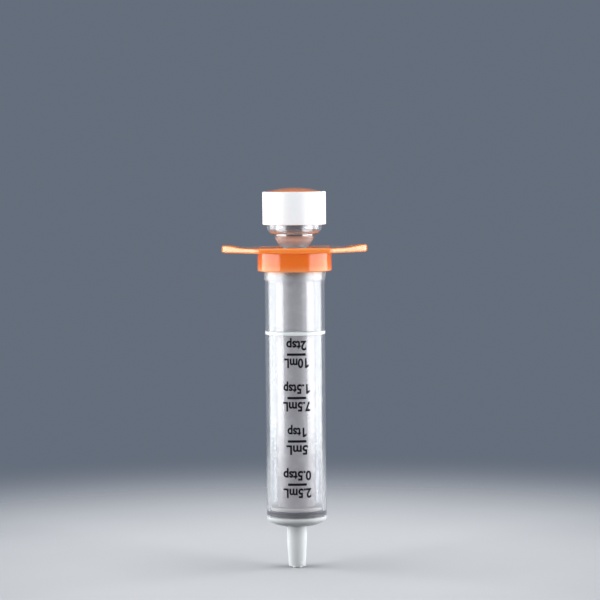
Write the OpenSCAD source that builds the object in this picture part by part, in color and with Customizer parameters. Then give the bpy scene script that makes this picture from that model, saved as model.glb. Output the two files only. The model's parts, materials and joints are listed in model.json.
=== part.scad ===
// Oral syringe, nozzle down, with its plunger fully pressed.
// Origin: centre of the nozzle's tip. +Z runs up the syringe's axis and the finger wings lie along X.

/* [Dose] */
// Largest dose in millilitres, which sets how far the plunger travels
capacity_ml = 10; // [5:0.5:20]

/* [Barrel] */
// Inside diameter of the barrel
bore_d = 15.8; // [13:0.1:22]
// Thickness of the barrel's wall
barrel_wall = 1.0; // [0.8:0.1:2]
// Length of barrel from the stop bead up to the rim
upper_len = 24.15; // [16:0.1:40]
// Extra wall of the stiffening band at the barrel's mouth
band_wall = 0.2; // [0.1:0.05:0.4]
// Length of the stiffening band
band_len = 8.1; // [7.5:0.1:12]
// Height of the domed end
end_dome = 2.7; // [2:0.1:5]
// Thickness of the domed end at its centre
end_wall = 0.8; // [0.8:0.1:1.8]
// Height of the stop bead inside the bore
stop_h = 1.2; // [0.8:0.1:2]
// How far the stop bead stands out from the bore's wall
stop_depth = 0.45; // [0.4:0.05:0.8]

/* [Nozzle] */
// Length of the nozzle
nozzle_len = 12.2; // [8:0.1:18]
// Diameter of the straight land at the nozzle's root
nozzle_root_d = 6.0; // [5:0.1:8]
// Diameter of the nozzle at its tip
nozzle_tip_d = 5.0; // [4:0.1:6]
// Length of the straight land
nozzle_land = 4.0; // [2:0.1:6]
// Diameter of the passage through the nozzle
passage_d = 2.2; // [1.5:0.1:3]
// Rounding of the nozzle's outer tip edge
tip_round = 0.4; // [0.2:0.1:0.8]

/* [Finger collar] */
// Wall of the skirt around the barrel's band
skirt_wall = 1.85; // [1.2:0.05:3]
// Height of the skirt below the flange
skirt_len = 5.5; // [4:0.1:7]
// Thickness of the flange
flange_t = 1.5; // [1:0.1:3]
// How far the flange stands out in front of the skirt
flange_step = 0.9; // [0.4:0.1:2]
// Half length of the straight edge along the flange's middle
mid_half = 8.8; // [4:0.1:12]
// Rounding where the straight edge turns into the wing
corner_round = 4.0; // [2:0.1:6]
// Overall span of the finger wings
wing_span = 43.0; // [34:0.5:60]
// Radius of the wing tips
wing_tip_r = 3.6; // [2.5:0.1:5]
// Height of the raised lip on the wing tips
lip_h = 0.7; // [0.3:0.1:1.5]
// Width of the raised lip at its widest
lip_w = 2.4; // [1:0.1:3]
// Radius of the snap bead on the barrel
snap_r = 0.4; // [0.2:0.05:0.6]
// Height of the snap bead above the skirt's lower edge
snap_rise = 2.8; // [1.5:0.1:3]

/* [Plunger tube] */
// Outside diameter of the plunger's tube
tube_d = 11.5; // [9:0.1:14]
// Thickness of the tube's wall
tube_wall = 1.0; // [0.8:0.1:1.6]
// Distance of the tube's upper end below the flange's top
tube_drop = 0.5; // [0.3:0.1:2]

/* [Piston and seal] */
// Height of the piston's straight edge below the seal
nose_edge = 0.4; // [0.3:0.1:1.5]
// Height of the seal ring
seal_h = 1.8; // [1.2:0.1:4]
// Depth of the groove that holds the seal ring
groove_depth = 1.6; // [1:0.1:2]
// Thickness of the piston's disc above the seal
disc_t = 0.9; // [0.6:0.1:3]
// Length of the plug that goes up into the tube
plug_len = 7.0; // [4:0.5:15]

/* [Plunger head] */
// Diameter of the neck where the bowl leaves the tube
neck_d = 6.8; // [6:0.1:8]
// Diameter of the bowl
bowl_d = 12.0; // [10:0.1:14]
// Height of the bowl from the neck to its straight side
bowl_h = 3.8; // [2:0.1:6]
// Height of the bowl's straight side below the cap
bowl_side = 3.4; // [2:0.1:8]
// Height of the rounded lip that shows below the cap
rim_h = 2.9; // [1.5:0.1:3]
// Length of the spigot that goes down into the tube
spigot_len = 8.0; // [4:0.5:15]
// Wall of the head inside the cap
head_wall = 1.2; // [0.8:0.1:2]

/* [Thumb cap] */
// Outside diameter of the cap
cap_d = 18.7; // [16:0.1:26]
// Height of the cap
cap_h = 9.7; // [7:0.1:16]
// Thickness of the cap's side
cap_wall = 1.1; // [0.9:0.1:2]
// Thickness of the cap's deck under the colour disc
deck_t = 1.2; // [0.8:0.1:2]
// Depth of the recess that holds the colour disc
recess_h = 1.3; // [0.8:0.1:2]
// Thickness of the rim around the colour disc
rim_wall = 0.75; // [0.5:0.05:0.8]
// Rise of the colour disc's domed top
dome_rise = 1.2; // [0.5:0.1:3]

/* [Fits] */
// Gap between pieces that are pressed or snapped together
snug_gap = 0.05; // [0.03:0.01:0.1]
// Gap around the seal ring, in the bore and in its groove
seal_gap = 0.03; // [0.02:0.01:0.08]
// Gap between pieces that move past each other without touching
free_gap = 0.3; // [0.25:0.05:0.5]
// Gap left at the stop bead when the plunger is fully drawn
stop_gap = 0.1; // [0.05:0.05:0.3]

/* [Hidden] */
$fn = 128;
ARC_STEPS = 12;
QUARTER = 90;
// Angles of the bowl's flare from its steepest line, at its foot and at its top
FLARE_FOOT = 35;
FLARE_TOP = 15;
MM3_PER_ML = 1000;
// Share of the seal's height taken by each lip
LIP_SHARE = 0.25;
// Share of the tube's wall cut off at its upper edge
TUBE_EDGE_SHARE = 1 / 3;
// The bowl's wall is this many times the cup's
BOWL_WALLS = 2;
// Drawing overlap, so that joined shapes share volume
JOIN = 0.01;

bore_r = bore_d / 2;
barrel_r = bore_r + barrel_wall;
band_r = barrel_r + band_wall;
stroke = capacity_ml * MM3_PER_ML / (PI * bore_r * bore_r);

// Heights up the barrel and the piston
end_z = nozzle_len + end_dome;
floor_dome = end_dome - end_wall;
nose_z = end_z + free_gap;
seal_z = nose_z + nose_edge;
disc_z = seal_z + seal_h;
piston_z = disc_z + disc_t;
stop_z = piston_z + stroke + stop_gap;
rim_z = stop_z + upper_len;
band_z = rim_z - band_len;

// Finger collar
skirt_r = band_r + snug_gap + skirt_wall;
flange_z = rim_z + snug_gap;
flange_top = flange_z + flange_t;
skirt_z = flange_z - skirt_len;
snap_z = skirt_z + snap_rise;
wing_x = wing_span / 2 - wing_tip_r;
flange_r = skirt_r + flange_step;

// Plunger
tube_r = tube_d / 2;
tube_in = tube_r - tube_wall;
plug_r = tube_in - snug_gap;
piston_r = bore_r - free_gap;
groove_r = piston_r - groove_depth;
tube_top = flange_top - tube_drop;
neck_r = neck_d / 2;
bowl_r = bowl_d / 2;
bowl_z = tube_top + bowl_h;
cap_z = bowl_z + bowl_side;
cap_r = cap_d / 2;
cap_top = cap_z + cap_h;
deck_top = cap_top - recess_h;
deck_z = deck_top - deck_t;
head_r = cap_r - cap_wall - snug_gap;
head_in = head_r - head_wall;
disc_r = cap_r - rim_wall - snug_gap;

// Points on an elliptical arc about [cx, cz], from angle a0 to a1
function arc(cx, cz, rx, rz, a0, a1) =
  [for (i = [0 : ARC_STEPS])
    let (a = a0 + (a1 - a0) * i / ARC_STEPS)
    [cx + rx * cos(a), cz + rz * sin(a)]
  ];

// Part of an elliptical arc from [r0, z0] up to [r1, z1], steeper at the top than at the bottom
function flare(r0, z0, r1, z1) =
  let (
    rx = (r1 - r0) / (cos(FLARE_TOP) - cos(FLARE_FOOT)),
    rz = (z1 - z0) / (sin(FLARE_FOOT) - sin(FLARE_TOP))
  )
  arc(r1 - rx * cos(FLARE_TOP), z1 + rz * sin(FLARE_TOP), rx, rz, -FLARE_FOOT, -FLARE_TOP);

// Solid of revolution about Z from a profile of [radius, height] points
module turned(profile) rotate_extrude() polygon(profile);

module ring(inner, outer, z, h) {
  translate([0, 0, z]) difference() {
    cylinder(r = outer, h = h);
    translate([0, 0, -JOIN]) cylinder(r = inner, h = h + 2 * JOIN);
  }
}

module bead(r, z, size) {
  rotate_extrude() translate([r, z]) circle(r = size);
}

// Quarter of an ellipse from its lowest point on the axis out to its edge
module dome_end(r, rise, z, height) {
  turned(concat([[0, z + height]], arc(0, z, r, rise, -QUARTER, 0), [[r, z + height]]));
}

module nozzle() {
  tip_r = nozzle_tip_d / 2;
  root_r = nozzle_root_d / 2;
  turned(concat(
    [[0, 0]],
    arc(tip_r - tip_round, tip_round, tip_round, tip_round, -QUARTER, 0),
    [[root_r, nozzle_len - nozzle_land], [root_r, end_z], [0, end_z]]
  ));
}

// Clear barrel with its nozzle, stop bead, stiffening band and snap bead
module barrel() {
  color("gainsboro", 0.4) difference() {
    union() {
      dome_end(barrel_r, end_dome, end_z, rim_z - end_z);
      nozzle();
      translate([0, 0, band_z]) cylinder(r = band_r, h = band_len);
      bead(band_r, snap_z, snap_r);
    }
    difference() {
      dome_end(bore_r, floor_dome, end_z, rim_z - end_z + JOIN);
      turned([
        [bore_r + JOIN, stop_z], [bore_r - stop_depth, stop_z],
        [bore_r - stop_depth, stop_z + stop_h - stop_depth], [bore_r + JOIN, stop_z + stop_h]
      ]);
    }
    translate([0, 0, -JOIN]) cylinder(r = passage_d / 2, h = end_z);
  }
}

// Plan of the flange: a straight edge along the middle, then straight sides that taper to the wing tips
module flange_plan() {
  corner_y = flange_r - corner_round;
  run = [wing_x - mid_half, corner_y];
  turn = acos((corner_round - wing_tip_r) / norm(run)) - atan2(run[1], run[0]);
  for (side = [0, 1], face = [0, 1]) mirror([side, 0]) mirror([0, face]) {
    translate([wing_x, 0]) circle(r = wing_tip_r);
    translate([mid_half, corner_y]) circle(r = corner_round);
    polygon([
      [-JOIN, -JOIN],
      [-JOIN, flange_r],
      [mid_half, flange_r],
      [mid_half + corner_round * cos(turn), corner_y + corner_round * sin(turn)],
      [wing_x + wing_tip_r * cos(turn), wing_tip_r * sin(turn)],
      [wing_x, -JOIN]
    ]);
  }
}

// Raised crescent along the end of one wing
module tip_lip() {
  difference() {
    translate([wing_x, 0]) circle(r = wing_tip_r);
    translate([wing_x - lip_w, 0]) circle(r = wing_tip_r);
  }
}

// Orange collar that snaps over the barrel's mouth and carries the finger wings
module finger_collar() {
  color("darkorange", 0.9) difference() {
    union() {
      translate([0, 0, skirt_z]) cylinder(r = skirt_r, h = skirt_len + JOIN);
      translate([0, 0, flange_z]) linear_extrude(flange_t) flange_plan();
      for (side = [0, 1]) mirror([side, 0, 0])
        translate([0, 0, flange_z]) linear_extrude(flange_t + lip_h) tip_lip();
    }
    translate([0, 0, skirt_z - JOIN]) cylinder(r = band_r + snug_gap, h = skirt_len + JOIN);
    bead(band_r, snap_z, snap_r + snug_gap);
    translate([0, 0, skirt_z]) cylinder(r = tube_r + free_gap, h = flange_top - skirt_z + JOIN);
  }
}

// Rubber ring with two lips that wipe the bore
module seal_ring() {
  lip = seal_h * LIP_SHARE;
  lip_r = bore_r - seal_gap;
  valley_r = lip_r - lip / 2;
  low = seal_z + seal_gap;
  high = disc_z - seal_gap;
  color("dimgray") turned([
    [groove_r + seal_gap, low], [valley_r, low],
    [lip_r, low + lip / 2], [lip_r, low + lip],
    [valley_r, (low + high) / 2],
    [lip_r, high - lip], [lip_r, high - lip / 2],
    [valley_r, high], [groove_r + seal_gap, high]
  ]);
}

// Natural plastic piston: domed nose, seal groove, disc and the plug that holds the tube
module piston() {
  color("ivory") difference() {
    union() {
      dome_end(piston_r, floor_dome, nose_z, piston_z - nose_z);
      translate([0, 0, piston_z - JOIN]) cylinder(r = plug_r, h = plug_len);
    }
    ring(groove_r, bore_r, seal_z, seal_h);
  }
}

// Milky tube that the piston closes below and the head closes above
module plunger_tube() {
  edge = tube_wall * TUBE_EDGE_SHARE;
  z0 = piston_z + snug_gap;
  color("whitesmoke", 0.7) turned([
    [tube_in, z0], [tube_r, z0],
    [tube_r, tube_top - edge], [tube_r - edge, tube_top], [tube_in, tube_top]
  ]);
}

// Natural plastic head: spigot, neck and bowl below, cup inside the cap
module plunger_head() {
  z0 = tube_top + snug_gap;
  rim_z0 = cap_z - rim_h;
  rim_round = min(rim_h, head_r - bowl_r);
  cup_floor = cap_z + head_wall;
  color("linen", 0.85) difference() {
    union() {
      translate([0, 0, tube_top - spigot_len]) cylinder(r = plug_r, h = spigot_len + snug_gap + JOIN);
      turned(concat(
        [[0, z0]],
        flare(neck_r, z0, bowl_r, bowl_z),
        [[bowl_r, cap_z], [0, cap_z]]
      ));
      turned(concat(
        [[0, rim_z0]],
        arc(head_r - rim_round, rim_z0 + rim_round, rim_round, rim_round, -QUARTER, 0),
        [[head_r, deck_z - snug_gap], [0, deck_z - snug_gap]]
      ));
    }
    translate([0, 0, cup_floor]) cylinder(r = head_in, h = cap_h);
    // Core that keeps the bowl's wall even
    translate([0, 0, bowl_z]) cylinder(r = bowl_r - BOWL_WALLS * head_wall, h = cap_h);
  }
}

// White cap that presses over the head
module thumb_cap() {
  color("white") difference() {
    translate([0, 0, cap_z]) cylinder(r = cap_r, h = cap_h);
    translate([0, 0, cap_z - JOIN]) cylinder(r = cap_r - cap_wall, h = deck_z - cap_z + JOIN);
    translate([0, 0, deck_top]) cylinder(r = cap_r - rim_wall, h = recess_h + JOIN);
  }
}

// Orange disc with a gently domed top, pressed into the cap's recess
module colour_disc() {
  dome_r = (disc_r * disc_r + dome_rise * dome_rise) / (2 * dome_rise);
  spread = asin(disc_r / dome_r);
  color("darkorange") turned(concat(
    [[0, deck_top + snug_gap], [disc_r, deck_top + snug_gap]],
    arc(0, cap_top + dome_rise - dome_r, dome_r, dome_r, QUARTER - spread, QUARTER)
  ));
}

barrel();
finger_collar();
seal_ring();
piston();
plunger_tube();
plunger_head();
thumb_cap();
colour_disc();
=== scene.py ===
import json
import math

import bmesh
import bpy
from mathutils import Matrix, Vector


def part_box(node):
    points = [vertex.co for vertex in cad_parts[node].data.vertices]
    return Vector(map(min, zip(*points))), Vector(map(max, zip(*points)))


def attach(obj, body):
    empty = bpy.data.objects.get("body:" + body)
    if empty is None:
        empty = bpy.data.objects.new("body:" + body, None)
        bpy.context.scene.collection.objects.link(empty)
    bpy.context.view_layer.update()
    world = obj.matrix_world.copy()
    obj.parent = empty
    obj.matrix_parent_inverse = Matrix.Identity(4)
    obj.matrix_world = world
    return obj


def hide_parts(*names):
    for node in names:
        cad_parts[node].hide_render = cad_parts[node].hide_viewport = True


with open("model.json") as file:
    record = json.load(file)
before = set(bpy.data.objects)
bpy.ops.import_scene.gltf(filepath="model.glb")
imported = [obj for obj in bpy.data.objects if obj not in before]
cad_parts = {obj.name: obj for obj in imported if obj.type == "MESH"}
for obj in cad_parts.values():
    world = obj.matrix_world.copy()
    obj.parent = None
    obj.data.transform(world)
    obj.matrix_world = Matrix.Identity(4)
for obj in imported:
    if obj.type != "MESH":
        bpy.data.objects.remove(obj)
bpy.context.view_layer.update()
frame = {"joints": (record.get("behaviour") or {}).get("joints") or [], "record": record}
MM = 0.001

# ---------------------------------------------------------------- camera
# The syringe is seen almost level, from far off with a long lens, and leans a touch in the picture.
VIEW_DISTANCE = 700 * MM
VIEW_PITCH = math.radians(3.4)
VIEW_ROLL = math.radians(-0.5)
VIEW_WIDTH = 177.3 * MM
AIM = Vector((1.5, 0, 79.46)) * MM

lens = bpy.data.cameras.new("camera")
lens.sensor_width = 36
lens.lens = lens.sensor_width * VIEW_DISTANCE / VIEW_WIDTH
lens.clip_start = 10 * MM
lens.clip_end = 20
camera = bpy.data.objects.new("camera", lens)
bpy.context.scene.collection.objects.link(camera)
turn = Matrix.Rotation(math.pi / 2 - VIEW_PITCH, 4, "X") @ Matrix.Rotation(VIEW_ROLL, 4, "Z")
back = Vector((0, -math.cos(VIEW_PITCH), math.sin(VIEW_PITCH))) * VIEW_DISTANCE
camera.matrix_world = Matrix.Translation(AIM + back) @ turn
bpy.context.scene.camera = camera
bpy.context.scene.view_settings.view_transform = "Standard"
bpy.context.scene.cycles.caustics_reflective = False
bpy.context.scene.cycles.caustics_refractive = False


# ---------------------------------------------------------------- light and floor
# Two tall soft boxes stand left and right of the syringe and leave a darker gap in front of it.
# The floor is a pale sheet of paper that fades out away from the syringe.
class Value:
    """A number or mask inside a material, which takes part in sums."""

    def __init__(self, tree, socket):
        self.tree = tree
        self.socket = socket

    def combine(self, operation, first, second):
        node = self.tree.nodes.new("ShaderNodeMath")
        node.operation = operation
        for slot, term in zip(node.inputs, (first, second)):
            if isinstance(term, Value):
                self.tree.links.new(term.socket, slot)
            else:
                slot.default_value = term
        return Value(self.tree, node.outputs[0])

    def __add__(self, other):
        return self.combine("ADD", self, other)

    __radd__ = __add__

    def __mul__(self, other):
        return self.combine("MULTIPLY", self, other)

    __rmul__ = __mul__

    def __sub__(self, other):
        return self.combine("SUBTRACT", self, other)

    def __rsub__(self, other):
        return self.combine("SUBTRACT", other, self)

    def absolute(self):
        return self.combine("ABSOLUTE", self, 0)

    def larger(self, other):
        return self.combine("MAXIMUM", self, other)


class Finish:
    """One material, with the nodes that vary it over the surface."""

    def __init__(self, name, **constants):
        self.material = bpy.data.materials.new(name)
        self.material.use_nodes = True
        self.tree = self.material.node_tree
        self.shader = self.tree.nodes["Principled BSDF"]
        self.output = self.tree.nodes["Material Output"]
        for socket, value in constants.items():
            self.shader.inputs[socket.replace("_", " ")].default_value = value
        self.place = self.node("ShaderNodeTexCoord").outputs["Object"]

    def node(self, kind, settings=None, **sockets):
        """Any node. A socket is given by its name, or by its number after an underscore."""
        made = self.tree.nodes.new(kind)
        for name, value in (settings or {}).items():
            setattr(made, name, value)
        for name, value in sockets.items():
            slot = made.inputs[int(name[1:]) if name[0] == "_" else name.replace("_", " ")]
            value = value.socket if isinstance(value, Value) else value
            if isinstance(value, bpy.types.NodeSocket):
                self.tree.links.new(value, slot)
            else:
                slot.default_value = value
        return made

    def value(self, socket):
        return Value(self.tree, socket)

    def noise(self, scale, detail=2.0):
        """Cloudy mask, scale in lumps a metre."""
        cloud = self.node("ShaderNodeTexNoise", Vector=self.place, Scale=scale, Detail=detail)
        return self.value(cloud.outputs[0])

    def along(self, axis):
        """Distance from the origin along X, Y or Z, in metres."""
        split = self.node("ShaderNodeSeparateXYZ", Vector=self.place)
        return self.value(split.outputs[axis])

    def ease(self, source, start, stop, first=0.0, last=1.0):
        """Goes gently from first to last as source goes from start to stop."""
        made = self.node(
            "ShaderNodeMapRange", {"interpolation_type": "SMOOTHSTEP"},
            Value=source, From_Min=start, From_Max=stop, To_Min=first, To_Max=last,
        )
        return self.value(made.outputs[0])

    def blend(self, mask, first, second):
        """Colour that goes from first to second as the mask goes from 0 to 1."""
        mix = self.node("ShaderNodeMix", {"data_type": "RGBA"}, _0=mask)
        # sockets 6 and 7 take the two colours, and output 2 gives the mixed one
        for slot, colour in ((mix.inputs[6], first), (mix.inputs[7], second)):
            if isinstance(colour, bpy.types.NodeSocket):
                self.tree.links.new(colour, slot)
            else:
                slot.default_value = (*colour, 1)
        return mix.outputs[2]

    def drive(self, socket, source):
        source = source.socket if isinstance(source, Value) else source
        self.tree.links.new(source, self.shader.inputs[socket])

    def pass_light(self, colour):
        """Lets lamps shine through the plastic, tinted by colour, instead of casting a solid shadow."""
        is_shadow = self.node("ShaderNodeLightPath").outputs["Is Shadow Ray"]
        through = self.node("ShaderNodeBsdfTransparent", Color=(*colour, 1))
        solid = self.shader.outputs[0]
        swap = self.node("ShaderNodeMixShader", _0=is_shadow, _1=solid, _2=through.outputs[0])
        self.tree.links.new(swap.outputs[0], self.output.inputs["Surface"])

    def bump(self, height, distance, strength):
        """Raises the surface by at most distance where height is 1."""
        made = self.node("ShaderNodeBump", Height=height, Distance=distance, Strength=strength)
        self.drive("Normal", made.outputs[0])


SOFT_BOX_OUT = 1.3
SOFT_BOX_UP = 0.35
SOFT_BOX_INNER = math.radians(47)
SOFT_BOX_OUTER = math.radians(121)
SOFT_BOX_TALL = 1.7
SOFT_BOX_POWER = 50
for side in (-1, 1):
    near = SOFT_BOX_OUT / math.tan(SOFT_BOX_INNER)
    far = SOFT_BOX_OUT / math.tan(math.pi - SOFT_BOX_OUTER)
    light = bpy.data.lights.new(f"soft_box_{side}", "AREA")
    light.shape = "RECTANGLE"
    light.size = near + far
    light.size_y = SOFT_BOX_TALL
    light.energy = SOFT_BOX_POWER
    lamp = bpy.data.objects.new(light.name, light)
    bpy.context.scene.collection.objects.link(lamp)
    spot = Vector((side * SOFT_BOX_OUT, (far - near) / 2, SOFT_BOX_UP))
    lamp.matrix_world = Matrix.Translation(spot) @ Matrix.Rotation(side * math.pi / 2, 4, "Y")
    lamp.matrix_world = lamp.matrix_world @ Matrix.Rotation(math.pi / 2, 4, "Z")

TOP_LIGHT_UP = 1.6
TOP_LIGHT_SIZE = 1.2
TOP_LIGHT_POWER = 6
light = bpy.data.lights.new("top_light", "AREA")
light.size = TOP_LIGHT_SIZE
light.energy = TOP_LIGHT_POWER
lamp = bpy.data.objects.new(light.name, light)
lamp.location = (0, 0, TOP_LIGHT_UP)
bpy.context.scene.collection.objects.link(lamp)

SHADE = (0.13, 0.155, 0.20)
world = bpy.data.worlds.new("room")
world.use_nodes = True
world.node_tree.nodes["Background"].inputs["Color"].default_value = (*SHADE, 1)
bpy.context.scene.world = world

FLOOR_RADIUS = 0.4
FLOOR_SOLID = 0.03
FLOOR_GONE = 0.28
FLOOR_PALE = (0.58, 0.59, 0.60)
FLOOR_DULLER = [shade * 0.94 for shade in FLOOR_PALE]
bm = bmesh.new()
bmesh.ops.create_grid(bm, x_segments=1, y_segments=1, size=FLOOR_RADIUS)
floor_mesh = bpy.data.meshes.new("floor")
bm.to_mesh(floor_mesh)
bm.free()
floor = bpy.data.objects.new("floor", floor_mesh)
bpy.context.scene.collection.objects.link(floor)
paper = Finish("floor_paper", Roughness=0.9, Specular_IOR_Level=0.0)
reach = paper.node("ShaderNodeVectorMath", {"operation": "LENGTH"}, _0=paper.place).outputs["Value"]
fade = paper.node(
    "ShaderNodeMapRange", {"interpolation_type": "SMOOTHERSTEP"},
    Value=reach, From_Min=FLOOR_SOLID, From_Max=FLOOR_GONE, To_Min=1.0, To_Max=0.0,
).outputs[0]
paper.drive("Alpha", fade)
paper.drive("Base Color", paper.blend(paper.noise(25), FLOOR_PALE, FLOOR_DULLER))
floor_mesh.materials.append(paper.material)

# ---------------------------------------------------------------- barrel
# Clear polypropylene, moulded in one shot: a straight tube with a domed end and a plain oral nozzle.
# A bead inside stops the piston at the full dose, and the collar snaps over a thicker band at the mouth.
mounts = {m["name"]: m for m in frame["record"]["mounts"]}
seal_low_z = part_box("seal_ring")[0].z
SEAL_GAP = 0.03 * MM
SNUG_GAP = 0.05 * MM
BORE_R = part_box("seal_ring")[1].x + SEAL_GAP
BARREL_R = mounts["barrel_grip"]["dims"]["r_mm"] * MM
PASSAGE_R = mounts["nozzle_passage"]["dims"]["r_mm"] * MM
LAND_R = mounts["nozzle_land"]["dims"]["r_mm"] * MM
NOZZLE_TIP_R = 2.5 * MM
LAND_FOOT = 8.2 * MM
DOME_FOOT = 12.2 * MM
DOME_RISE = 2.7 * MM
END_WALL = 0.8 * MM
BAND_R = BARREL_R + 0.2 * MM
BAND_LEN = 8.1 * MM
BAND_SLOPE = 0.1 * MM
RIM_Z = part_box("barrel")[1].z
BAND_FOOT = RIM_Z - BAND_LEN
SKIRT_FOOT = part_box("finger_collar")[0].z
STOP_H = 1.2 * MM
STOP_DEPTH = 0.45 * MM
STOP_GAP = 0.1 * MM
TRAVEL = frame["joints"][0]["range_m"][1]
PISTON_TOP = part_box("plunger_tube")[0].z - SNUG_GAP
STOP_Z = PISTON_TOP + TRAVEL + STOP_GAP
ROUND_STEPS = 128
DOME_STEPS = 14
CORNER_CUT = 0.7
CORNER_FACETS = 5
WELD = 0.002 * MM


def lathe(name, outline, rounds=()):
    """Turns a closed outline of (radius, height) points about Z. rounds gives {corner number: radius},
    and a round starts CORNER_CUT of its radius away from the sharp corner."""
    bm = bmesh.new()
    corners = [bm.verts.new((r, 0, z)) for r, z in outline]
    for a, b in zip(corners, corners[1:] + corners[:1]):
        if a.co.x > 0 or b.co.x > 0:
            bm.edges.new((a, b))
    for size in sorted(set(dict(rounds).values())):
        picked = [corners[i] for i, r in dict(rounds).items() if r == size]
        bmesh.ops.bevel(
            bm, geom=picked, affect="VERTICES", offset=size * CORNER_CUT, segments=CORNER_FACETS,
            profile=0.5, material=-1,
        )
    bmesh.ops.spin(
        bm, geom=bm.verts[:] + bm.edges[:], cent=(0, 0, 0), axis=(0, 0, 1),
        angle=math.tau, steps=ROUND_STEPS, use_merge=True,
    )
    return finished(name, bm)


def finished(name, bm, smooth=35):
    """Closes the mesh, turns its faces outwards and makes it an object.
    Bends of more than smooth degrees stay crisp."""
    bmesh.ops.remove_doubles(bm, verts=bm.verts[:], dist=WELD)
    bmesh.ops.recalc_face_normals(bm, faces=bm.faces[:])
    mesh = bpy.data.meshes.new(name)
    bm.to_mesh(mesh)
    bm.free()
    mesh.shade_smooth()
    mesh.set_sharp_from_angle(angle=math.radians(smooth))
    piece = bpy.data.objects.new(name, mesh)
    bpy.context.scene.collection.objects.link(piece)
    return piece


def spread(first, last, steps):
    """Numbers from first to last in even steps, both ends included."""
    return [first + (last - first) * i / steps for i in range(steps + 1)]


def dome(r, rise, z, start_r):
    """Elliptical dome's points from start_r out to its edge at r, where it meets height z."""
    return [(r * math.cos(a), z - rise * math.sin(a)) for a in spread(math.acos(start_r / r), 0, DOME_STEPS)]


dome_z = DOME_FOOT + DOME_RISE
outer_dome = dome(BARREL_R, DOME_RISE, dome_z, LAND_R)
inner_dome = dome(BORE_R, DOME_RISE - END_WALL, dome_z, PASSAGE_R)
outline = [
    (PASSAGE_R, 0), (NOZZLE_TIP_R, 0), (LAND_R, LAND_FOOT), *outer_dome,
    (BARREL_R, BAND_FOOT), (BAND_R, BAND_FOOT + BAND_SLOPE),
    (BAND_R, RIM_Z), (BORE_R, RIM_Z),
    (BORE_R, STOP_Z + STOP_H), (BORE_R - STOP_DEPTH, STOP_Z + STOP_H - STOP_DEPTH),
    (BORE_R - STOP_DEPTH, STOP_Z), (BORE_R, STOP_Z),
    *reversed(inner_dome),
]
# corner numbers: where the nozzle meets the dome, and the first one after the dome
root = 3
after = root + len(outer_dome)
barrel = lathe(
    "barrel_shell", outline,
    {0: 0.15 * MM, 1: 0.4 * MM, root: 0.5 * MM, after + 2: 0.3 * MM, after + 3: 0.3 * MM,
     after + 5: 0.25 * MM, after + 6: 0.25 * MM},
)
clear = Finish("clear_polypropylene", IOR=1.49, Transmission_Weight=0.96, Specular_IOR_Level=0.22)
up = clear.along("Z")
thick = clear.ease(up, seal_low_z, seal_low_z - 1.5 * MM, 0.05, 0.25)
band = clear.ease(up, BAND_FOOT - 0.6 * MM, BAND_FOOT + 0.4 * MM, 0.0, 0.2)
clear.drive("Roughness", clear.noise(260, 3) * 0.04 + thick + band)
plain = clear.blend(clear.noise(60), (0.97, 0.98, 0.99), (0.93, 0.95, 0.97))
# painted reflection: the collar's orange light is painted into the wall's colour where the collar sits on it
painted_orange_bounce = clear.ease(up, SKIRT_FOOT - 1.6 * MM, SKIRT_FOOT + 0.3 * MM)
clear.drive("Base Color", clear.blend(painted_orange_bounce, plain, (1.0, 0.62, 0.42)))
clear.pass_light((0.97, 0.98, 0.99))
barrel.data.materials.append(clear.material)
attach(barrel, "barrel")
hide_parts("barrel")

# The plastic clouds where it is thick, in the nozzle, the domed end and the stop bead:
# each has a milky core inside the clear skin.
SKIN = 0.22 * MM
BEAD_SKIN = 0.1 * MM
core_dome = dome(BARREL_R - SKIN, DOME_RISE, dome_z, LAND_R - SKIN)
core_inside = dome(BORE_R + SKIN, DOME_RISE - END_WALL + SKIN, dome_z, PASSAGE_R + SKIN)
core = lathe(
    "nozzle_core",
    [
        (PASSAGE_R + SKIN, 2 * SKIN), (NOZZLE_TIP_R - SKIN, 2 * SKIN), (LAND_R - SKIN, LAND_FOOT),
        *[(r, z + SKIN) for r, z in core_dome[:-1]], (BARREL_R - SKIN, seal_low_z - SKIN),
        (BORE_R + SKIN, seal_low_z - SKIN), *reversed([(r, z - SKIN) for r, z in core_inside[:-1]]),
    ],
)
cloud = Finish(
    "clouded_polypropylene", Roughness=0.5, IOR=1.4, Subsurface_Weight=0.2,
    Subsurface_Radius=(0.8, 0.9, 1.0), Subsurface_Scale=2 * MM,
)
# painted light: the faint blue tint stands for blue backdrop light showing through the clouded plastic
cloud.drive("Base Color", cloud.blend(cloud.noise(300), (0.93, 0.98, 1.0), (0.96, 0.99, 1.0)))
stop_core = lathe(
    "stop_core",
    [
        (BORE_R - STOP_DEPTH + BEAD_SKIN, STOP_Z + BEAD_SKIN), (BORE_R + SKIN, STOP_Z + BEAD_SKIN),
        (BORE_R + SKIN, STOP_Z + STOP_H - 2 * BEAD_SKIN),
        (BORE_R - BEAD_SKIN, STOP_Z + STOP_H - 2 * BEAD_SKIN),
        (BORE_R - STOP_DEPTH + BEAD_SKIN, STOP_Z + STOP_H - STOP_DEPTH),
    ],
)
for clouded in (core, stop_core):
    clouded.data.materials.append(cloud.material)
    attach(clouded, "barrel")
    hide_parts("barrel")

# ---------------------------------------------------------------- dose scale
# Black ink, pad printed straight on the barrel: a bar for each quarter of the dose,
# with millilitres on its nozzle side and teaspoons on the other, to be read with the nozzle up.
DOSE_ML = 2.5
TSP_ML = 5
MARKS = 4
INK_SKIN = 0.02 * MM
INK_LIFT = 0.003 * MM
BAR_WIDTH = 5.55 * MM
BAR_HEIGHT = 0.72 * MM
DIGIT_HEIGHT = 2.65 * MM
TEXT_GAP = 0.9 * MM
PRINT_SHIFT = 0.3 * MM
PRINT_REACH = 8 * MM
STRIP = 0.4 * MM
PRINT_WELD = 0.01 * MM
SLIVER = 0.005 * MM
FREE_GAP = 0.3 * MM
ZERO_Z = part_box("piston")[0].z - FREE_GAP
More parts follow.
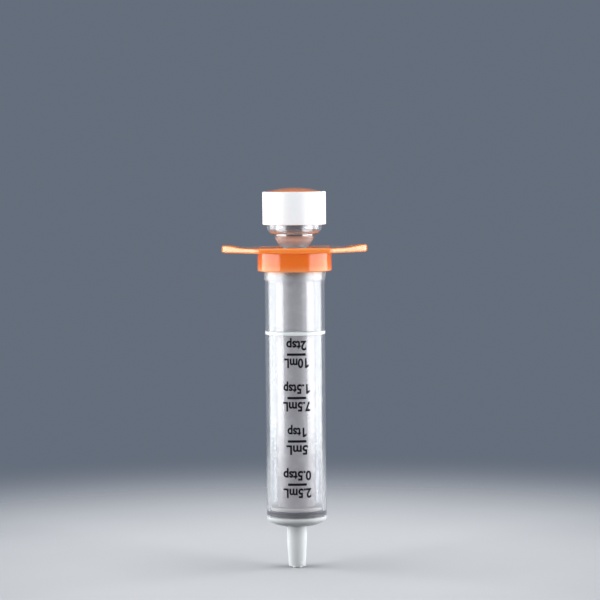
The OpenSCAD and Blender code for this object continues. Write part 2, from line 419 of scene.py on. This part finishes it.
# The font's capitals stand 0.7 of its size high, and its 1 is a bare bar that needs a flag.
CAP_SHARE = 0.70
BOLDER = 0.032
FLAG = ((0, 0), (-0.2, -0.13), (-0.2, -0.3), (0, -0.18))
WORD_WIDTHS = {
    "2.5mL": 8.45, "5mL": 6.4, "7.5mL": 8.3, "10mL": 7.4,
    "0.5tsp": 8.45, "1tsp": 5.65, "1.5tsp": 8.0, "2tsp": 5.95,
}


def lettering(words, width):
    """Flat mesh of the words, upright in X and Z, width wide and centred on X, with its foot at z = 0."""
    curve = bpy.data.curves.new(words, "FONT")
    curve.body = words
    curve.align_x = "CENTER"
    curve.size = 1
    curve.offset = BOLDER
    curve.resolution_u = 6
    holder = bpy.data.objects.new(words, curve)
    bpy.context.scene.collection.objects.link(holder)
    bpy.context.view_layer.update()
    mesh = bpy.data.meshes.new_from_object(holder)
    bpy.data.objects.remove(holder)
    bm = bmesh.new()
    bm.from_mesh(mesh)
    bpy.data.meshes.remove(mesh)
    if words.startswith("1"):
        stem = min(v.co.x for v in bm.verts)
        top = max(v.co.y for v in bm.verts if v.co.x == stem)
        bm.faces.new([bm.verts.new((stem + x, top + y, 0)) for x, y in FLAG])
    low = min(v.co.x for v in bm.verts)
    high = max(v.co.x for v in bm.verts)
    for v in bm.verts:
        x = (v.co.x - (low + high) / 2) / (high - low) * width
        v.co = (x, 0, v.co.y / CAP_SHARE * DIGIT_HEIGHT)
    return bm


def wrapped(name, bm):
    """Cuts a flat print into narrow strips, bends it round the front of the barrel and thickens it."""
    cut = -PRINT_REACH
    while cut < PRINT_REACH:
        geometry = bm.verts[:] + bm.edges[:] + bm.faces[:]
        bmesh.ops.bisect_plane(bm, geom=geometry, plane_co=(cut, 0, 0), plane_no=(1, 0, 0))
        cut += STRIP
    bmesh.ops.remove_doubles(bm, verts=bm.verts[:], dist=PRINT_WELD)
    bmesh.ops.dissolve_degenerate(bm, edges=bm.edges[:], dist=SLIVER)
    grown = bmesh.ops.extrude_face_region(bm, geom=bm.faces[:], use_keep_orig=True)
    for v in grown["geom"]:
        if isinstance(v, bmesh.types.BMVert):
            v.co.y = -INK_SKIN
    for v in bm.verts:
        a = (v.co.x + PRINT_SHIFT) / BARREL_R
        r = BARREL_R + INK_LIFT - v.co.y
        v.co = (r * math.sin(a), -r * math.cos(a), v.co.z)
    return finished(name, bm, 60)


print_bm = bmesh.new()
step = TRAVEL / MARKS
gap = BAR_HEIGHT / 2 + TEXT_GAP
for mark in range(1, MARKS + 1):
    z = ZERO_Z + step * mark
    dose = DOSE_ML * mark
    rows = [(f"{dose:g}mL", z - gap), (f"{dose / TSP_ML:g}tsp", z + gap + DIGIT_HEIGHT)]
    for words, foot in rows:
        word = lettering(words, WORD_WIDTHS[words] * MM)
        for v in word.verts:
            v.co = (-v.co.x, 0, foot - v.co.z)
        part = bpy.data.meshes.new("word")
        word.to_mesh(part)
        word.free()
        print_bm.from_mesh(part)
        bpy.data.meshes.remove(part)
    bar = bmesh.ops.create_grid(print_bm, x_segments=1, y_segments=1, size=0.5)
    for v in bar["verts"]:
        v.co = (v.co.x * BAR_WIDTH, 0, z + v.co.y * BAR_HEIGHT)
dose_scale = wrapped("dose_scale", print_bm)
ink = Finish("print_ink", Specular_IOR_Level=0.05)
ink.drive("Base Color", ink.blend(ink.noise(3000), (0.004, 0.004, 0.006), (0.010, 0.010, 0.013)))
ink.drive("Roughness", ink.noise(1500) * 0.2 + 0.3)
dose_scale.data.materials.append(ink.material)
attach(dose_scale, "barrel")

# ---------------------------------------------------------------- finger collar
# Translucent orange polypropylene, moulded as one piece: a skirt that snaps over the barrel's mouth
# and a flange with two finger wings, whose ends turn up in a small lip.
collar_low, collar_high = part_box("finger_collar")
SKIRT_R = 11.0 * MM
SKIRT_LEN = 5.5 * MM
FLANGE_T = 1.5 * MM
FLANGE_R = collar_high.y
WING_TIP_R = 3.6 * MM
WING_X = collar_high.x - WING_TIP_R
MID_HALF = 8.8 * MM
CORNER_R = 4.0 * MM
LIP_H = 0.7 * MM
LIP_W = 2.2 * MM
LIP_SLOPE = ((1.0, 0.0), (0.8, 0.25), (0.55, 0.85), (0.4, 1.0))
LIP_START = WING_X - 4 * MM
LIP_RUN = 7 * MM
RIM_ROUND = 0.6 * MM
UNDER_FILLET = 0.25 * MM
EDGE = 0.4 * MM
HOLE_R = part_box("plunger_tube")[1].x + FREE_GAP
HOLE_EDGE = 0.2 * MM
FLAT_RUN = 0.3 * MM
SOCKET_R = BAND_R + SNUG_GAP
SNAP_Z = collar_low.z + 2.8 * MM
SNAP_R = 0.45 * MM
SNAP_STEPS = 6
TIP_STEPS = 36
CORNER_STEPS = 12
RUN_STEPS = 20
flange_z = collar_low.z + SKIRT_LEN
flange_top = flange_z + FLANGE_T


def wing_outline(shrink, z, lip):
    """Points of the flange's edge at height z, drawn in by shrink.
    lip is how far the two wing tips are lifted, which fades towards the middle."""
    run = Vector((WING_X - MID_HALF, FLANGE_R - CORNER_R))
    turn = math.acos((CORNER_R - WING_TIP_R) / run.length) - math.atan2(run.y, run.x)
    square = math.pi / 2
    arcs = (
        (WING_X, 0, WING_TIP_R, -turn, turn, TIP_STEPS),
        (MID_HALF, run.y, CORNER_R, turn, square, CORNER_STEPS),
        (-MID_HALF, run.y, CORNER_R, square, 2 * square - turn, CORNER_STEPS),
        (-WING_X, 0, WING_TIP_R, 2 * square - turn, 2 * square + turn, TIP_STEPS),
        (-MID_HALF, -run.y, CORNER_R, 2 * square + turn, 3 * square, CORNER_STEPS),
        (MID_HALF, -run.y, CORNER_R, 3 * square, 4 * square - turn, CORNER_STEPS),
    )
    bends = [
        [Vector((x + (r - shrink) * math.cos(a), y + (r - shrink) * math.sin(a), z)) for a in spread(*ends)]
        for x, y, r, *ends in arcs
    ]
    points = []
    for bend, following in zip(bends, bends[1:] + bends[:1]):
        points += bend
        points += [bend[-1].lerp(following[0], i / RUN_STEPS) for i in range(1, RUN_STEPS)]
    for point in points:
        rise = min(1, max(0, (abs(point.x) - LIP_START) / LIP_RUN))
        point.z += lip * rise * rise * (3 - 2 * rise)
    return points


def ring_outline(r, z):
    """Round loop whose points lie straight inwards from those of the flange's edge."""
    return [point.to_2d().normalized().to_3d() * r + Vector((0, 0, z)) for point in wing_outline(0, 0, 0)]


def quarter(size, steps=4):
    """Steps round a quarter circle, as how far in and how far along each one lies."""
    return [(size * (1 - math.sin(a)), size * (1 - math.cos(a))) for a in spread(0, math.pi / 2, steps)]


# Loops of points, each joined to the next: up through the hole, out over the flange's top, round its edge,
# back in below it, down the skirt and up inside it past the groove for the snap bead.
inside = [ring_outline(SOCKET_R, flange_z), ring_outline(HOLE_R, flange_z)]
inside += [ring_outline(HOLE_R, flange_top - HOLE_EDGE), ring_outline(HOLE_R + HOLE_EDGE, flange_top)]
inside += [ring_outline(HOLE_R + HOLE_EDGE + FLAT_RUN, flange_top)]
edge = [wing_outline(LIP_W + FLAT_RUN, flange_top, 0)]
edge += [wing_outline(share * LIP_W, flange_top, rise * LIP_H) for share, rise in LIP_SLOPE]
edge += [wing_outline(inward, flange_top - down, LIP_H) for inward, down in quarter(RIM_ROUND)]
edge += [wing_outline(inward, flange_z + up, 0) for up, inward in quarter(RIM_ROUND)]
skirt = [ring_outline(SKIRT_R + out, flange_z - down) for down, out in reversed(quarter(UNDER_FILLET))]
skirt += [ring_outline(SKIRT_R - inward, collar_low.z + up) for up, inward in quarter(EDGE)]
skirt += [ring_outline(SOCKET_R + EDGE, collar_low.z), ring_outline(SOCKET_R, collar_low.z + EDGE)]
skirt += [
    ring_outline(SOCKET_R + SNAP_R * math.cos(a), SNAP_Z + SNAP_R * math.sin(a))
    for a in spread(-math.pi / 2, math.pi / 2, SNAP_STEPS)
]
bm = bmesh.new()
rings = [[bm.verts.new(point) for point in points] for points in inside + edge + skirt]
for first, second in zip(rings, rings[1:] + rings[:1]):
    pairs = list(zip(first, second))
    for (a, b), (c, d) in zip(pairs, pairs[1:] + pairs[:1]):
        bm.faces.new((a, b, d, c))
collar = finished("collar_body", bm, 40)
orange = Finish(
    "orange_polypropylene", Subsurface_Weight=0.4, Subsurface_Radius=(1.0, 0.3, 0.06),
    Subsurface_Scale=2.0 * MM, IOR=1.49, Coat_Roughness=0.1, Coat_IOR=1.5,
)
up = orange.along("Z")
# the wings shine more than the middle, and so does the disc on the cap, which shares this plastic
DULL_HALF = 9.8 * MM
SHINY_HALF = 11.4 * MM
outward = orange.ease(orange.along("X").absolute(), DULL_HALF, SHINY_HALF)
upward = orange.ease(up, flange_top + 1 * MM, flange_top + 2 * MM)
orange.drive("Coat Weight", outward.larger(upward) * 0.95 + 0.05)
skirt_tone = orange.blend(orange.noise(120), (0.78, 0.145, 0.011), (0.83, 0.19, 0.02))
flange_tone = orange.blend(orange.noise(120), (0.90, 0.24, 0.035), (0.94, 0.29, 0.05))
in_flange = orange.ease(up, flange_z - 0.2 * MM, flange_z + 0.2 * MM)
tone = orange.blend(in_flange, skirt_tone, flange_tone)
# painted reflection: the skirt turns a paler peach towards its lower edge, standing for the soft boxes'
# reflection there
skirt_foot_painted_reflection = orange.ease(up, SKIRT_FOOT + 2.2 * MM, SKIRT_FOOT, 0.0, 0.5)
orange.drive("Base Color", orange.blend(skirt_foot_painted_reflection, tone, (0.80, 0.36, 0.15)))
orange.drive("Roughness", orange.noise(300, 3) * 0.08 + 0.1)
orange.bump(orange.noise(900, 2), 0.01 * MM, 0.3)
collar.data.materials.append(orange.material)
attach(collar, "barrel")
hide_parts("finger_collar")

# ---------------------------------------------------------------- seal ring
# Dark moulded rubber ring that sits in the piston's groove and wipes the bore with two lips,
# either side of a fine line round its middle. It presses on the bore, so the clear wall shows it wide.
seal_low, seal_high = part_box("seal_ring")
SEAL_IN = 6.03 * MM
LIP_BEVEL = 0.2 * MM
LINE_HALF = 0.08 * MM
SQUEEZE = 0.03 * MM
WIPE_R = BORE_R + SQUEEZE
seal_mid = (seal_low.z + seal_high.z) / 2
seal = lathe(
    "seal_lips",
    [
        (SEAL_IN, seal_low.z), (BORE_R - LIP_BEVEL, seal_low.z), (WIPE_R, seal_low.z + LIP_BEVEL),
        (WIPE_R, seal_mid - LINE_HALF), (BORE_R, seal_mid), (WIPE_R, seal_mid + LINE_HALF),
        (WIPE_R, seal_high.z - LIP_BEVEL), (BORE_R - LIP_BEVEL, seal_high.z), (SEAL_IN, seal_high.z),
    ],
)
rubber = Finish("seal_rubber", IOR=1.52)
rubber.drive("Base Color", rubber.blend(rubber.noise(700, 3), (0.030, 0.030, 0.045), (0.052, 0.050, 0.070)))
rubber.drive("Roughness", rubber.noise(900, 3) * 0.2 + 0.35)
rubber.bump(rubber.noise(2500, 3), 0.01 * MM, 0.5)
seal.data.materials.append(rubber.material)
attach(seal, "seal")
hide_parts("seal_ring")

# ---------------------------------------------------------------- piston
# Natural polypropylene plug on the plunger's lower end: a domed nose that fits the barrel's end,
# the seal's groove, a thin disc above it and a plug that is pressed up into the tube.
nose_low, plug_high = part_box("piston")
PISTON_R = plug_high.x
GROOVE_R = SEAL_IN - SEAL_GAP
TUBE_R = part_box("plunger_tube")[1].x
TUBE_WALL = 1.0 * MM
TUBE_IN = TUBE_R - TUBE_WALL
nose_z = dome_z + FREE_GAP
nose = dome(PISTON_R, DOME_RISE - END_WALL, nose_z, 0)
nose[0] = (0, nose_low.z)  # exactly on the axis
piston = lathe(
    "piston_plug",
    [
        *nose,
        (PISTON_R, seal_low.z - SEAL_GAP), (GROOVE_R, seal_low.z - SEAL_GAP),
        (GROOVE_R, seal_high.z + SEAL_GAP), (PISTON_R, seal_high.z + SEAL_GAP),
        (PISTON_R, PISTON_TOP), (TUBE_IN - SNUG_GAP, PISTON_TOP),
        (TUBE_IN - SNUG_GAP, plug_high.z), (0, plug_high.z),
    ],
    {len(nose) + 3: 0.12 * MM, len(nose) + 4: 0.2 * MM, len(nose) + 6: 0.4 * MM},
)
natural = Finish("piston_polypropylene", Subsurface_Weight=0.3, Subsurface_Scale=1 * MM, IOR=1.49)
natural.drive("Base Color", natural.blend(natural.noise(90), (0.46, 0.44, 0.46), (0.54, 0.52, 0.53)))
natural.drive("Roughness", natural.noise(500, 3) * 0.1 + 0.25)
natural.bump(natural.noise(1200, 2), 0.01 * MM, 0.3)
piston.data.materials.append(natural.material)
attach(piston, "plunger")
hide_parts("piston")

# ---------------------------------------------------------------- plunger tube
# Milky tube of natural polypropylene, extruded and cut to length.
# The piston's plug closes its lower end and the head's spigot its upper one.
tube_low, tube_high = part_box("plunger_tube")
tube = lathe(
    "plunger_tube_skin",
    [(TUBE_IN, tube_low.z), (TUBE_R, tube_low.z), (TUBE_R, tube_high.z), (TUBE_IN, tube_high.z)],
    {1: 0.15 * MM, 2: 0.3 * MM},
)
milky = Finish(
    "natural_polypropylene", Subsurface_Weight=0.5, Subsurface_Radius=(1.0, 0.9, 0.8),
    Subsurface_Scale=2.0 * MM, IOR=1.49,
)
milky.drive("Base Color", milky.blend(milky.noise(80), (0.40, 0.375, 0.40), (0.44, 0.42, 0.445)))
milky.drive("Roughness", milky.noise(400, 3) * 0.1 + 0.22)
milky.bump(milky.noise(1200, 2), 0.01 * MM, 0.3)
tube.data.materials.append(milky.material)
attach(tube, "plunger")
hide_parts("plunger_tube")

# ---------------------------------------------------------------- plunger head
# Natural polypropylene: a spigot down into the tube, a bowl that flares up from the neck,
# and a rounded cup whose lip shows below the cap.
head_low, head_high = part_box("plunger_head")
cap_low, cap_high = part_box("thumb_cap")
NECK_R = 3.4 * MM
BOWL_R = 6.0 * MM
BOWL_H = 3.8 * MM
HEAD_R = head_high.x
HEAD_WALL = 1.2 * MM
HEAD_SKIN = HEAD_WALL / 2
BOWL_CLEAR = 0.02 * MM
LIP_EDGE = 0.1 * MM
LIP_STEPS = 10
LIP_SHOWN = 2.9 * MM
neck_z = tube_high.z + SNUG_GAP
bowl_z = tube_high.z + BOWL_H
lip_z = cap_low.z - LIP_SHOWN
lip_round = HEAD_R - BOWL_R
FLARE = spread(math.radians(35), math.radians(15), 8)
flare_out = (BOWL_R - NECK_R) / (math.cos(FLARE[-1]) - math.cos(FLARE[0]))
flare_up = (bowl_z - neck_z) / (math.sin(FLARE[0]) - math.sin(FLARE[-1]))
bowl = [
    (
        BOWL_R - flare_out * (math.cos(FLARE[-1]) - math.cos(a)),
        bowl_z + flare_up * (math.sin(FLARE[-1]) - math.sin(a)),
    )
    for a in FLARE
]
CORE_R = BOWL_R - 2 * HEAD_WALL
BOWL_TOP = cap_low.z + HEAD_SKIN
head = lathe(
    "head_bowl",
    [
        (0, head_low.z), (TUBE_IN - SNUG_GAP, head_low.z), (TUBE_IN - SNUG_GAP, neck_z), *bowl,
        (BOWL_R, BOWL_TOP), (CORE_R, BOWL_TOP), (CORE_R, bowl_z), (0, bowl_z),
    ],
    {len(bowl) + 2: 0.8 * MM, len(bowl) + 3: 0.15 * MM},
)
cup_in = HEAD_R - HEAD_SKIN
cup_floor = lip_z + HEAD_SKIN
lip_arc = [(HEAD_R - inward, lip_z + up) for inward, up in quarter(lip_round, LIP_STEPS)]
inner_arc = [(cup_in - inward, cup_floor + up) for inward, up in quarter(lip_round - HEAD_SKIN, LIP_STEPS)]
lip = lathe(
    "head_lip",
    [
        *lip_arc, (HEAD_R, head_high.z), (cup_in, head_high.z), *reversed(inner_arc),
        (BOWL_R + BOWL_CLEAR, cup_floor), (BOWL_R + BOWL_CLEAR, lip_z + LIP_EDGE),
    ],
)
cloudy = Finish(
    "cloudy_polypropylene", Transmission_Weight=0.3, IOR=1.6,
    Coat_Weight=1.0, Coat_Roughness=0.15, Coat_IOR=2.2,
)
# painted shade: the bowl's upper part, under the cap, is painted dark brown for the cap's shadow, with the
# collar's orange bounce light in it
cap_shade_brown = cloudy.blend(cloudy.noise(80), (0.10, 0.07, 0.06), (0.14, 0.10, 0.09))
funnel = cloudy.blend(cloudy.noise(80), (0.62, 0.60, 0.61), (0.70, 0.68, 0.69))
under_cap_mask = cloudy.ease(cloudy.along("Z"), bowl_z - 1.2 * MM, bowl_z + 0.6 * MM)
cloudy.drive("Base Color", cloudy.blend(under_cap_mask, funnel, cap_shade_brown))
cloudy.drive("Roughness", cloudy.noise(400, 3) * 0.08 + 0.16)
head.data.materials.append(cloudy.material)
glassy = Finish("clear_lip", IOR=1.49, Transmission_Weight=0.94, Specular_IOR_Level=0.3)
glassy.drive("Base Color", glassy.blend(glassy.noise(80), (0.95, 0.96, 0.98), (0.91, 0.93, 0.96)))
glassy.drive("Roughness", glassy.noise(400, 3) * 0.06 + 0.07)
glassy.pass_light((0.97, 0.98, 0.99))
lip.data.materials.append(glassy.material)
for skin in (head, lip):
    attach(skin, "plunger")
    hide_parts("plunger_head")

# ---------------------------------------------------------------- thumb cap
# Opaque white moulding, a plain drum that presses down over the head's cup.
# Its top has a shallow recess with a thin rim for the colour disc.
CAP_R = cap_high.x
CAP_WALL = 1.1 * MM
RIM_WALL = 0.75 * MM
DECK_T = 1.2 * MM
disc_low, disc_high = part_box("colour_disc")
deck_top = disc_low.z - SNUG_GAP
cap = lathe(
    "cap_drum",
    [
        (0, deck_top - DECK_T), (CAP_R - CAP_WALL, deck_top - DECK_T), (CAP_R - CAP_WALL, cap_low.z),
        (CAP_R, cap_low.z), (CAP_R, cap_high.z), (CAP_R - RIM_WALL, cap_high.z),
        (CAP_R - RIM_WALL, deck_top), (0, deck_top),
    ],
    {2: 0.15 * MM, 3: 0.35 * MM, 4: 0.3 * MM, 5: 0.1 * MM},
)
white = Finish("white_moulding", Subsurface_Weight=0.1, Subsurface_Scale=1 * MM, IOR=1.49)
white.drive("Base Color", white.blend(white.noise(70), (0.86, 0.855, 0.85), (0.91, 0.905, 0.90)))
white.drive("Roughness", white.noise(350, 3) * 0.12 + 0.25)
white.bump(white.noise(1500, 3), 0.01 * MM, 0.4)
cap.data.materials.append(white.material)
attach(cap, "plunger")
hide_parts("thumb_cap")

# ---------------------------------------------------------------- colour disc
# Orange disc, moulded with a gently domed top and pressed into the cap's recess.
DISC_R = disc_high.x
DISC_STEPS = 16
rise = disc_high.z - cap_high.z
sphere_r = (DISC_R * DISC_R + rise * rise) / (2 * rise)
half_angle = math.asin(DISC_R / sphere_r)
dome_points = [
    (sphere_r * math.sin(a), disc_high.z - sphere_r * (1 - math.cos(a)))
    for a in spread(half_angle, 0, DISC_STEPS)
]
disc = lathe("disc_dome", [(0, disc_low.z), (DISC_R, disc_low.z), *dome_points], {2: 0.25 * MM})
disc.data.materials.append(orange.material)
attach(disc, "plunger")
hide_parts("colour_disc")
